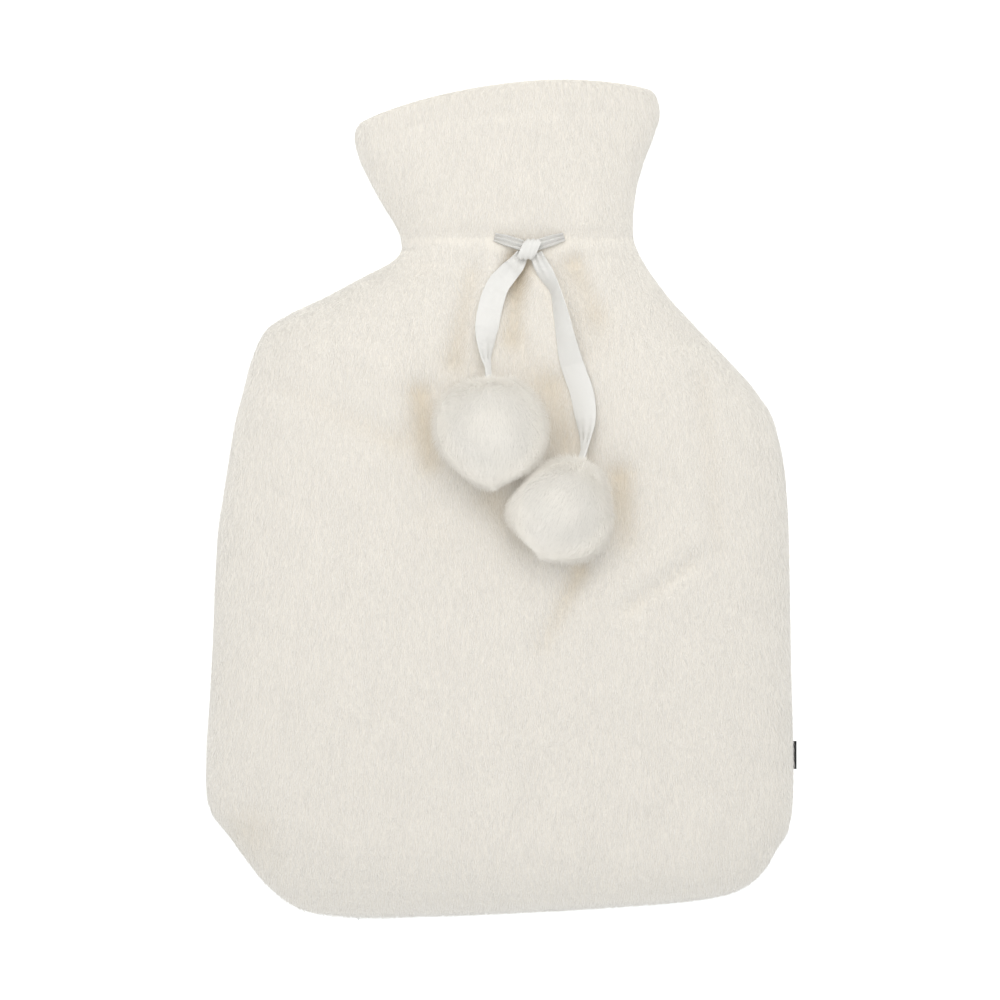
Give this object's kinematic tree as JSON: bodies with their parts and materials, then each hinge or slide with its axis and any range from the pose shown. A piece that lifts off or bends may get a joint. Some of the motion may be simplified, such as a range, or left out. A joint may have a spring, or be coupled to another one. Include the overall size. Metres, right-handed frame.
{
  "type": "hot water bottle cover",
  "caption": "Plush cover in a hot water bottle's outline, lying on its back, with a cinched neck, an open mouth and a ribbon tie that ends in pompoms.",
  "frame": {"origin": "on the surface that the cover lies on, under the middle of its box", "axes": "+Z out of the front, +Y towards the mouth, +X to the right seen from the front"},
  "size_m": [0.2481, 0.3515, 0.0826],
  "materials": {
    "plush": "cream short-pile plush",
    "pompom_plush": "off-white pompom plush",
    "satin_ribbon": "white satin",
    "label_cloth": "plain black woven tape"
  },
  "bodies": {
    "root": {"front_panel": "plush", "back_panel": "plush", "pompom_left": "pompom_plush", "pompom_right": "pompom_plush", "ribbon_tie": "satin_ribbon", "side_label": "label_cloth"}
  },
  "joints": []
}
